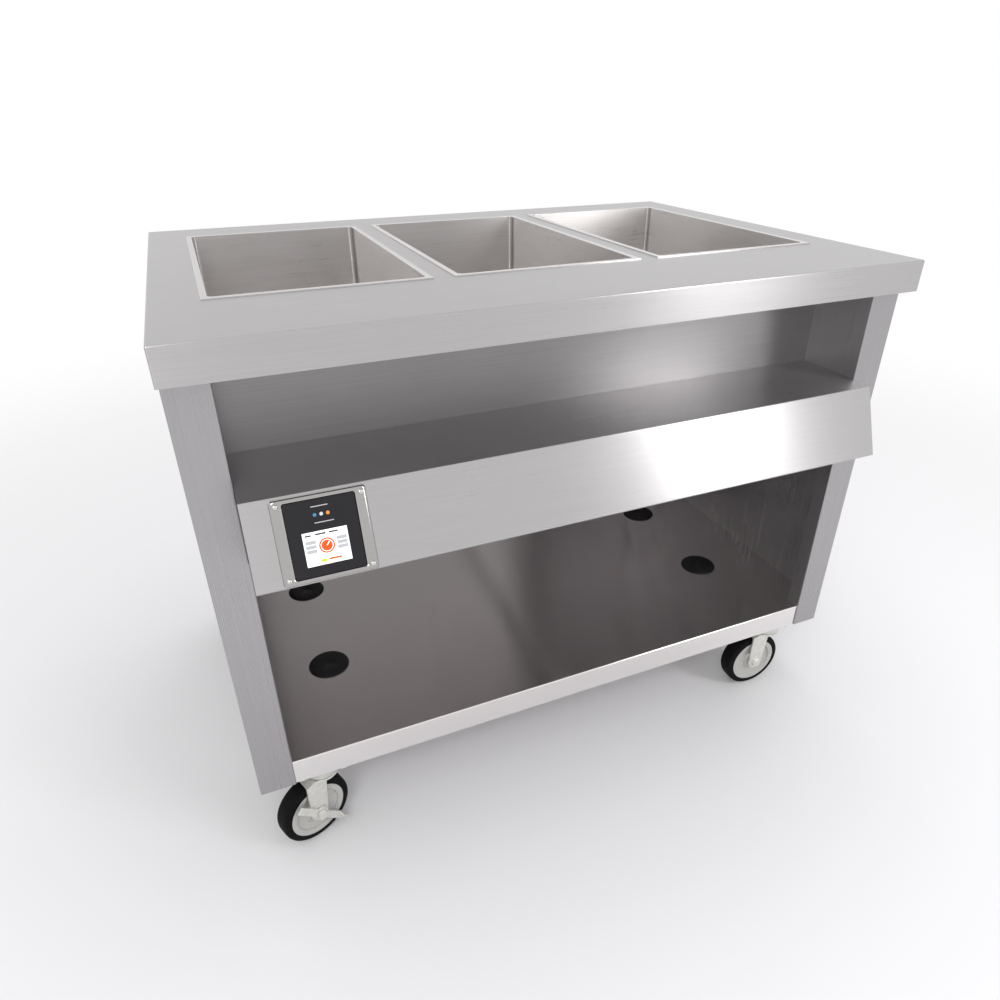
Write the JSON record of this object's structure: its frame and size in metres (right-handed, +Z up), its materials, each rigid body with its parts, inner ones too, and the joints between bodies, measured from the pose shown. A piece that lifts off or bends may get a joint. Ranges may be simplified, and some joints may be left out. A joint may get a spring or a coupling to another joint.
{
  "type": "mobile hot food serving counter",
  "caption": "Free-standing steel serving counter on swivel casters, with dry hot wells in its top, a work shelf with a slanted control apron, and open storage below.",
  "frame": {"origin": "on the floor, under the middle of the overall box", "axes": "+X along the counter to the operator's right, +Y from the operator's side to the back, +Z up"},
  "size_m": [1.1684, 0.8648, 0.9164],
  "materials": {
    "stainless": "satin, brushed along the sheet",
    "polished_steel": "fine satin",
    "zinc_steel": "zinc plated",
    "heater_sheath": "dull grey alloy",
    "tyre": "matt",
    "wheel_core": "light grey moulding",
    "black_plastic": "moulded",
    "black_panel": "semi-gloss",
    "screen": "lit display",
    "board": "circuit board",
    "insulation": "mineral wool"
  },
  "bodies": {
    "counter": {"apron_cap_left": "stainless", "apron_cap_right": "stainless", "apron_cover": "stainless", "base_rail_front": "zinc_steel", "base_rail_rear": "zinc_steel", "bezel_screws": "polished_steel", "caster_bolts": "zinc_steel", "caster_plate_front_left": "zinc_steel", "caster_plate_front_right": "zinc_steel", "caster_plate_rear_left": "zinc_steel", "caster_plate_rear_right": "zinc_steel", "control_bezel": "polished_steel", "control_board": "board", "control_face": "black_panel", "control_housing": "black_plastic", "cord_gland": "black_plastic", "display_screen": "screen", "end_panel_left": "stainless", "end_panel_right": "stainless", "floor_hole_plugs": "black_plastic", "heater_centre": "heater_sheath", "heater_clamp_plates": "zinc_steel", "heater_left": "heater_sheath", "heater_right": "heater_sheath", "lower_shelf": "stainless", "power_box": "zinc_steel", "rear_panel": "stainless", "recess_back_wall": "stainless", "recess_side_left": "stainless", "recess_side_right": "stainless", "supply_conduit": "zinc_steel", "swivel_balls": "zinc_steel", "terminal_block": "board", "top_rail_front": "zinc_steel", "top_rail_rear": "zinc_steel", "well_floor_pan": "zinc_steel", "well_insulation": "insulation", "well_liner_centre": "stainless", "well_liner_left": "stainless", "well_liner_right": "stainless", "work_shelf": "stainless", "worktop": "stainless"},
    "fork_front_left": {"caster_fork_front_left": "zinc_steel", "caster_axle_front_left": "zinc_steel"},
    "wheel_front_left": {"caster_hub_front_left": "wheel_core", "caster_tyre_front_left": "tyre"},
    "lever_front_left": {"brake_lever_front_left": "zinc_steel"},
    "fork_front_right": {"caster_fork_front_right": "zinc_steel", "caster_axle_front_right": "zinc_steel"},
    "wheel_front_right": {"caster_hub_front_right": "wheel_core", "caster_tyre_front_right": "tyre"},
    "lever_front_right": {"brake_lever_front_right": "zinc_steel"},
    "fork_rear_left": {"caster_fork_rear_left": "zinc_steel", "caster_axle_rear_left": "zinc_steel"},
    "wheel_rear_left": {"caster_hub_rear_left": "wheel_core", "caster_tyre_rear_left": "tyre"},
    "fork_rear_right": {"caster_fork_rear_right": "zinc_steel", "caster_axle_rear_right": "zinc_steel"},
    "wheel_rear_right": {"caster_hub_rear_right": "wheel_core", "caster_tyre_rear_right": "tyre"}
  },
  "joints": [
    {"name": "swivel_front_left", "type": "hinge", "parent": "counter", "child": "fork_front_left", "pos_m": [-0.48, -0.31257, 0.137], "axis": [0, 0, 1], "continuous": true},
    {"name": "roll_front_left", "type": "hinge", "parent": "fork_front_left", "child": "wheel_front_left", "pos_m": [-0.50503, -0.32268, 0.0635], "axis": [0.3746, -0.9272, 0], "continuous": true},
    {"name": "brake_front_left", "type": "hinge", "parent": "fork_front_left", "child": "lever_front_left", "pos_m": [-0.50503, -0.32268, 0.0635], "axis": [0.3746, -0.9272, 0], "range_deg": [0, 34]},
    {"name": "swivel_front_right", "type": "hinge", "parent": "counter", "child": "fork_front_right", "pos_m": [0.48, -0.31257, 0.137], "axis": [0, 0, 1], "continuous": true},
    {"name": "roll_front_right", "type": "hinge", "parent": "fork_front_right", "child": "wheel_front_right", "pos_m": [0.45302, -0.31163, 0.0635], "axis": [-0.0349, -0.9994, 0], "continuous": true},
    {"name": "brake_front_right", "type": "hinge", "parent": "fork_front_right", "child": "lever_front_right", "pos_m": [0.45302, -0.31163, 0.0635], "axis": [-0.0349, -0.9994, 0], "range_deg": [-34, 0]},
    {"name": "swivel_rear_left", "type": "hinge", "parent": "counter", "child": "fork_rear_left", "pos_m": [-0.48, 0.36613, 0.137], "axis": [0, 0, 1], "continuous": true},
    {"name": "roll_rear_left", "type": "hinge", "parent": "fork_rear_left", "child": "wheel_rear_left", "pos_m": [-0.50674, 0.36237, 0.0635], "axis": [0.1392, -0.9903, 0], "continuous": true},
    {"name": "swivel_rear_right", "type": "hinge", "parent": "counter", "child": "fork_rear_right", "pos_m": [0.48, 0.36613, 0.137], "axis": [0, 0, 1], "continuous": true},
    {"name": "roll_rear_right", "type": "hinge", "parent": "fork_rear_right", "child": "wheel_rear_right", "pos_m": [0.4538, 0.3596, 0.0635], "axis": [0.2419, -0.9703, 0], "continuous": true}
  ]
}
